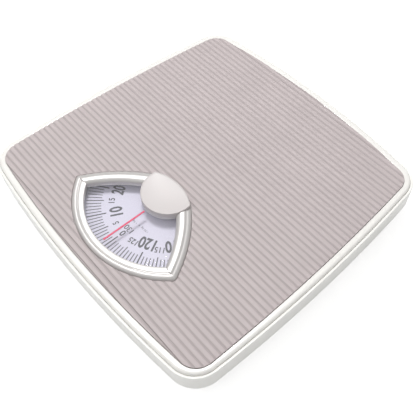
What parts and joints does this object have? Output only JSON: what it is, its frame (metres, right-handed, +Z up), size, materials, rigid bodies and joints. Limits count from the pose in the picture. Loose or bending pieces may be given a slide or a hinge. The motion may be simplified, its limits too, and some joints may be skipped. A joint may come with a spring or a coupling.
{
  "type": "personal scale",
  "caption": "Low square mechanical bathroom scale: ribbed mat, fan-shaped window over a rotating dial, and levers inside.",
  "frame": {"origin": "on the floor, at the centre of the outline", "axes": "+X to the right of the person who stands on it, +Y towards the toe edge with the dial, +Z up"},
  "size_m": [0.2898, 0.2856, 0.0486],
  "materials": {
    "tray_plastic": "white, moulded, glossy",
    "cover_enamel": "white stove enamel on pressed steel",
    "mat_rubber": "grey-beige moulded ribbed mat, matte",
    "bezel_chrome": "satin silver plated plastic",
    "cap_silver": "satin silver plated plastic",
    "lens_clear": "clear cast plastic",
    "pointer_red": "pinkish red painted strip",
    "dial_face": "lilac-white painted disc with printed scale",
    "turned_brass": "turned",
    "acetal": "dark moulded",
    "sheet_steel": "zinc plated sheet",
    "turned_steel": "turned and hardened",
    "spring_steel": "drawn wire",
    "foot_rubber": "black moulded rubber"
  },
  "bodies": {
    "housing": {"base_tray": "tray_plastic", "bracket_rivets": "turned_steel", "crank_bracket": "sheet_steel", "crank_pivot_pin": "turned_steel", "spring_bridge": "sheet_steel", "main_spring": "spring_steel", "dial_bracket": "sheet_steel", "spindle_bush": "acetal", "foot_front_left": "foot_rubber", "foot_front_right": "foot_rubber", "foot_rear_left": "foot_rubber", "foot_rear_right": "foot_rubber", "fulcrum_bracket_front_left": "sheet_steel", "fulcrum_bracket_front_right": "sheet_steel", "fulcrum_bracket_rear_left": "sheet_steel", "fulcrum_bracket_rear_right": "sheet_steel"},
    "platform": {"platform_cover": "cover_enamel", "ribbed_mat": "mat_rubber", "window_bezel": "bezel_chrome", "bezel_cap": "cap_silver", "bezel_washers": "sheet_steel", "window_lens": "lens_clear", "pointer_line": "pointer_red", "cover_stiffener_middle": "sheet_steel", "cover_stiffener_rear": "sheet_steel", "load_bracket_front_left": "sheet_steel", "load_bracket_front_right": "sheet_steel", "load_bracket_rear_left": "sheet_steel", "load_bracket_rear_right": "sheet_steel"},
    "dial": {"dial_disc": "dial_face", "dial_spindle": "turned_brass", "dial_hub": "turned_brass"},
    "rack": {"dial_rack": "sheet_steel"},
    "crank": {"bell_crank": "turned_brass"},
    "nose": {"nose_stirrup": "sheet_steel"},
    "zero_adjuster": {"zero_thumbwheel": "acetal", "zero_screw": "turned_steel"},
    "long_lever_left_body": {"long_lever_left": "sheet_steel", "fulcrum_pin_rear_left": "turned_steel", "load_pin_rear_left": "turned_steel", "link_hanger_pin_left": "turned_steel"},
    "short_lever_left_body": {"short_lever_left": "sheet_steel", "fulcrum_pin_front_left": "turned_steel", "load_pin_front_left": "turned_steel", "short_lever_tip_pin_left": "turned_steel"},
    "link_left_body": {"coupling_link_left": "sheet_steel"},
    "long_lever_right_body": {"long_lever_right": "sheet_steel", "fulcrum_pin_rear_right": "turned_steel", "load_pin_rear_right": "turned_steel", "link_hanger_pin_right": "turned_steel"},
    "short_lever_right_body": {"short_lever_right": "sheet_steel", "fulcrum_pin_front_right": "turned_steel", "load_pin_front_right": "turned_steel", "short_lever_tip_pin_right": "turned_steel"},
    "link_right_body": {"coupling_link_right": "sheet_steel"}
  },
  "joints": [
    {"name": "dial_turn", "type": "hinge", "parent": "housing", "child": "dial", "pos_m": [0, 0.04, 0.034], "axis": [0, 0, 1], "range_deg": [0, 356.5], "stiffness_Nm_per_rad": 0.022},
    {"name": "platform_press", "type": "slide", "parent": "housing", "child": "platform", "axis": [0, 0, -1], "range_m": [0, 0.00066815], "stiffness_N_per_m": 5000, "springref_m": -0.002},
    {"name": "long_lever_left_swing", "type": "hinge", "parent": "housing", "child": "long_lever_left_body", "pos_m": [-0.108, -0.108, 0.0165], "axis": [-1, 0, 0], "range_deg": [0, 1.28]},
    {"name": "short_lever_left_swing", "type": "hinge", "parent": "housing", "child": "short_lever_left_body", "pos_m": [-0.112, 0.108, 0.0165], "axis": [1, 0, 0], "range_deg": [0, 1.28]},
    {"name": "link_left_swing", "type": "hinge", "parent": "long_lever_left_body", "child": "link_left_body", "pos_m": [-0.06705, 0, 0.0185], "axis": [1, 0, 0], "range_deg": [0, 1.28]},
    {"name": "long_lever_right_swing", "type": "hinge", "parent": "housing", "child": "long_lever_right_body", "pos_m": [0.108, -0.108, 0.0165], "axis": [-1, 0, 0], "range_deg": [0, 1.28]},
    {"name": "short_lever_right_swing", "type": "hinge", "parent": "housing", "child": "short_lever_right_body", "pos_m": [0.112, 0.108, 0.0165], "axis": [1, 0, 0], "range_deg": [0, 1.28]},
    {"name": "link_right_swing", "type": "hinge", "parent": "long_lever_right_body", "child": "link_right_body", "pos_m": [0.06705, 0, 0.0185], "axis": [1, 0, 0], "range_deg": [0, 1.28]},
    {"name": "nose_drop", "type": "slide", "parent": "housing", "child": "nose", "axis": [0, 0, -1], "range_m": [0, 0.005], "deforming": ["main_spring"]},
    {"name": "crank_swing", "type": "hinge", "parent": "housing", "child": "crank", "pos_m": [0.005, 0.107, 0.012], "axis": [-1, 0, 0], "range_deg": [0, 80]},
    {"name": "rack_slide", "type": "slide", "parent": "housing", "child": "rack", "axis": [0, 1, 0], "range_m": [0, 0.01478]},
    {"name": "zero_wheel_turn", "type": "hinge", "parent": "housing", "child": "zero_adjuster", "pos_m": [0.04, 0.116, 0.006], "axis": [0, 0, 1], "range_deg": [-180, 180]}
  ],
  "couplings": [
    {"joint": "platform_press", "follows": "dial_turn", "m_per_rad": 0.00010738},
    {"joint": "long_lever_left_swing", "follows": "dial_turn", "ratio": 0.0035797},
    {"joint": "short_lever_left_swing", "follows": "dial_turn", "ratio": 0.0035797},
    {"joint": "link_left_swing", "follows": "dial_turn", "ratio": 0.0035797},
    {"joint": "long_lever_right_swing", "follows": "dial_turn", "ratio": 0.0035797},
    {"joint": "short_lever_right_swing", "follows": "dial_turn", "ratio": 0.0035797},
    {"joint": "link_right_swing", "follows": "dial_turn", "ratio": 0.0035797},
    {"joint": "nose_drop", "follows": "dial_turn", "m_per_rad": 0.00080359},
    {"joint": "crank_swing", "follows": "dial_turn", "ratio": 0.2244},
    {"joint": "rack_slide", "follows": "dial_turn", "m_per_rad": 0.002375}
  ]
}
